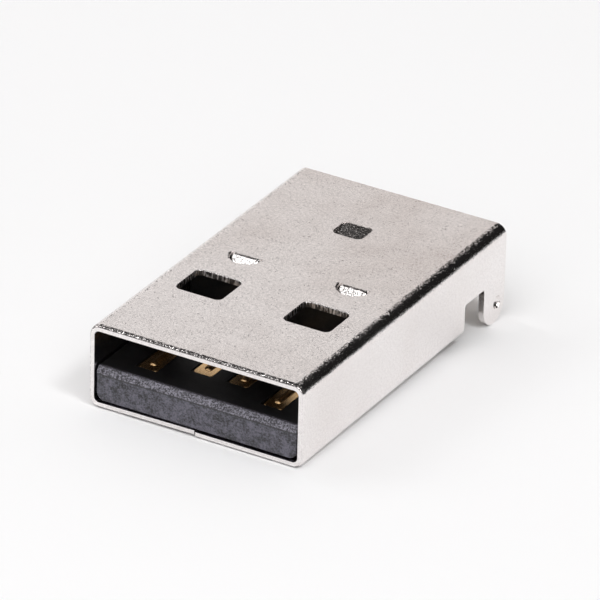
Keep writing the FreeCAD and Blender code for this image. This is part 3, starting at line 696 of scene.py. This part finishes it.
def floor_height(y):
    """Height of the floor at a place along the plug. It slopes under the plug, which rests on its front edge and
    its legs, and eases out to level past both ends."""
    inside = min(max(y, FLOOR_FRONT_Y), FLOOR_LEGS_Y)
    past = min(abs(y - inside), FLOOR_EASE)
    eased = past - past * past / (2 * FLOOR_EASE)
    slope = (FLOOR_LEGS_Z - FLOOR_FRONT_Z) / (FLOOR_LEGS_Y - FLOOR_FRONT_Y)
    return FLOOR_FRONT_Z + slope * (inside - FLOOR_FRONT_Y + math.copysign(eased, y - inside))


def make_floor(settings):
    """A wide sheet of white paper, in strips across the plug."""
    steps = [FLOOR_EASE * step / FLOOR_STRIPS for step in range(FLOOR_STRIPS + 1)]
    rows = [-FLOOR_REACH] + [FLOOR_FRONT_Y - step for step in reversed(steps)]
    rows += [FLOOR_LEGS_Y + step for step in steps] + [FLOOR_REACH]
    points = [(x, y, floor_height(y)) for y in rows for x in (-FLOOR_REACH, FLOOR_REACH)]
    strips = [(2 * row, 2 * row + 1, 2 * row + 3, 2 * row + 2) for row in range(len(rows) - 1)]
    mesh = bpy.data.meshes.new("floor")
    mesh.from_pydata(points, [], strips)
    mesh.shade_smooth()
    mesh.materials.append(matt_paper(settings.floor_color))
    floor = bpy.data.objects.new("floor", mesh)
    bpy.context.scene.collection.objects.link(floor)


def softbox(name, toward, distance, width, depth, brightness):
    """An area light in a direction from the plug, facing it, with its width along X. Brightness is radiance."""
    lamp = bpy.data.lights.new(name, "AREA")
    lamp.shape = "RECTANGLE"
    lamp.size = width
    lamp.size_y = depth
    lamp.energy = brightness * width * depth * math.pi
    holder = bpy.data.objects.new(name, lamp)
    away = Vector(toward).normalized()
    along = (Vector((1, 0, 0)) - away * away.x).normalized()
    holder.location = LAMP_AIM + away * distance
    holder.rotation_euler = Matrix((along, away.cross(along), away)).transposed().to_euler()
    bpy.context.scene.collection.objects.link(holder)


def lift(degrees):
    """The height on a unit sphere of an elevation."""
    return math.sin(math.radians(degrees))


def within_azimuth(tree, way, middle, half_width, softness):
    """1 inside a range of azimuths in degrees, measured from the rear towards +X, and 0 outside it."""
    level_way = vector_node(tree, "NORMALIZE", vector_node(tree, "MULTIPLY", way, (1, 1, 0)))
    angle = math.radians(middle)
    facing = vector_node(tree, "DOT_PRODUCT", level_way, (math.sin(angle), math.cos(angle), 0), result="Value")
    return blend_range(tree, facing, math.cos(math.radians(half_width + softness)),
                       math.cos(math.radians(half_width - softness)), 0, 1)


def make_surroundings(settings):
    """The room seen in the metal: a pale backdrop at the rear left and a black panel beside it, under a dark
    ceiling, with a grey wall in front and a grey card straight above. The camera itself sees white, and matt
    surfaces get an even light."""
    world = bpy.data.worlds.new("studio_room")
    bpy.context.scene.world = world
    tree = new_tree(world)
    way = add(tree, "ShaderNodeTexCoord").outputs["Generated"]
    height = parts(tree, way)["Z"]
    foot = blend_range(tree, height, lift(14), lift(24), settings.backdrop, 0.66 * settings.backdrop)
    crown = blend_range(tree, height, lift(25), lift(34), 0, 0.5 * settings.backdrop)
    backdrop = math_node(tree, "ADD", foot, crown)
    level = mixed(tree, within_azimuth(tree, way, -45, 38, 8), settings.room, backdrop)
    level = mixed(tree, blend_range(tree, height, lift(36), lift(40), 0, 1), level, settings.ceiling)
    above_floor = blend_range(tree, height, lift(1), lift(7), 0, 1)
    panel = product(tree, within_azimuth(tree, way, 22, 39, 4), above_floor)
    level = mixed(tree, panel, level, settings.ceiling)
    front = product(tree, within_azimuth(tree, way, 180, 75, 10), above_floor,
                    blend_range(tree, height, lift(38), lift(30), 0, 1))
    level = mixed(tree, front, level, settings.front)
    level = mixed(tree, blend_range(tree, height, lift(62), lift(70), 0, 1), level, settings.zenith)
    rays = add(tree, "ShaderNodeLightPath")
    scattered = math_node(tree, "GREATER_THAN", rays.outputs["Diffuse Depth"], 0.5)
    level = mixed(tree, scattered, level, settings.soft)
    level = mixed(tree, rays.outputs["Is Camera Ray"], level, settings.paper_seen)
    background = add(tree, "ShaderNodeBackground", Strength=level, Color=(*settings.room_color, 1))
    link_surface(tree, "ShaderNodeOutputWorld", background.outputs["Background"])


def make_camera(settings):
    """The camera at the photograph's viewing angle."""
    reach = math.cos(CAMERA_ELEVATION)
    back = Vector((math.sin(CAMERA_AZIMUTH) * reach, -math.cos(CAMERA_AZIMUTH) * reach, math.sin(CAMERA_ELEVATION)))
    data = bpy.data.cameras.new("photo_view")
    data.lens = settings.lens
    data.sensor_width = SENSOR_WIDTH
    data.clip_start = 0.01
    data.clip_end = 100
    camera = bpy.data.objects.new("photo_view", data)
    camera.location = CAMERA_AIM + back * CAMERA_DISTANCE
    turn = back.to_track_quat("Z", "Y").to_matrix().to_4x4()
    roll = turn @ Matrix.Rotation(CAMERA_ROLL, 4, "Z")
    camera.rotation_euler = roll.to_euler()
    bpy.context.scene.collection.objects.link(camera)
    bpy.context.scene.camera = camera


class BOARDPLUG_OT_finish_shell(bpy.types.Operator):
    """Give the folded shell its satin nickel plate"""
    bl_idname = "board_plug.finish_shell"
    bl_label = "Finish shell"

    def execute(self, context):
        dress("shell", satin_nickel(context.scene.board_plug_nickel))
        return {"FINISHED"}


class BOARDPLUG_OT_finish_moulding(bpy.types.Operator):
    """Give the insulator its glass-filled black plastic"""
    bl_idname = "board_plug.finish_moulding"
    bl_label = "Finish moulding"

    def execute(self, context):
        dress("insulator", glass_filled_black(context.scene.board_plug_moulding))
        return {"FINISHED"}


class BOARDPLUG_OT_build_contacts(bpy.types.Operator):
    """Stamp the row of four contacts and plate it with gold"""
    bl_idname = "board_plug.build_contacts"
    bl_label = "Build contacts"

    def execute(self, context):
        make_contact_row(context.scene.board_plug_contacts, gold_on_copper(context.scene.board_plug_gold))
        return {"FINISHED"}


class BOARDPLUG_OT_build_studio(bpy.types.Operator):
    """Lay the floor, set up the lights and place the camera"""
    bl_idname = "board_plug.build_studio"
    bl_label = "Build studio"

    def execute(self, context):
        settings = context.scene.board_plug_studio
        make_floor(settings)
        make_surroundings(settings)
        for name, (setting, toward, distance, width, depth) in LAMPS.items():
            softbox(name, toward, distance, width, depth, getattr(settings, setting))
        make_camera(settings)
        bpy.context.scene.view_settings.view_transform = "Standard"
        return {"FINISHED"}


OPERATORS = (BOARDPLUG_OT_finish_shell, BOARDPLUG_OT_finish_moulding, BOARDPLUG_OT_build_contacts,
             BOARDPLUG_OT_build_studio)
SETTINGS = {"board_plug_nickel": NickelPlate, "board_plug_moulding": BlackMoulding,
            "board_plug_contacts": ContactRow, "board_plug_gold": GoldPlate, "board_plug_studio": Studio}


class BOARDPLUG_PT_sidebar(bpy.types.Panel):
    """The plug's pieces and settings"""
    bl_idname = "BOARDPLUG_PT_sidebar"
    bl_label = "Board plug"
    bl_space_type = "VIEW_3D"
    bl_region_type = "UI"
    bl_category = "Board plug"

    def draw(self, context):
        for operator in OPERATORS:
            self.layout.operator(operator.bl_idname)
        for name, group in SETTINGS.items():
            box = self.layout.box()
            box.label(text=group.__doc__)
            for field in group.__annotations__:
                box.prop(getattr(context.scene, name), field)


CLASSES = tuple(SETTINGS.values()) + OPERATORS + (BOARDPLUG_PT_sidebar,)


def register():
    """Register the classes and put the settings on the scene."""
    for item in CLASSES:
        bpy.utils.register_class(item)
    for name, group in SETTINGS.items():
        setattr(bpy.types.Scene, name, PointerProperty(type=group))


def unregister():
    """Take the settings and the classes away again."""
    for name in SETTINGS:
        delattr(bpy.types.Scene, name)
    for item in reversed(CLASSES):
        bpy.utils.unregister_class(item)


def main():
    """Build everything in order."""
    register()
    bpy.ops.board_plug.finish_shell()
    bpy.ops.board_plug.finish_moulding()
    bpy.ops.board_plug.build_contacts()
    bpy.ops.board_plug.build_studio()


if __name__ == "__main__":
    main()
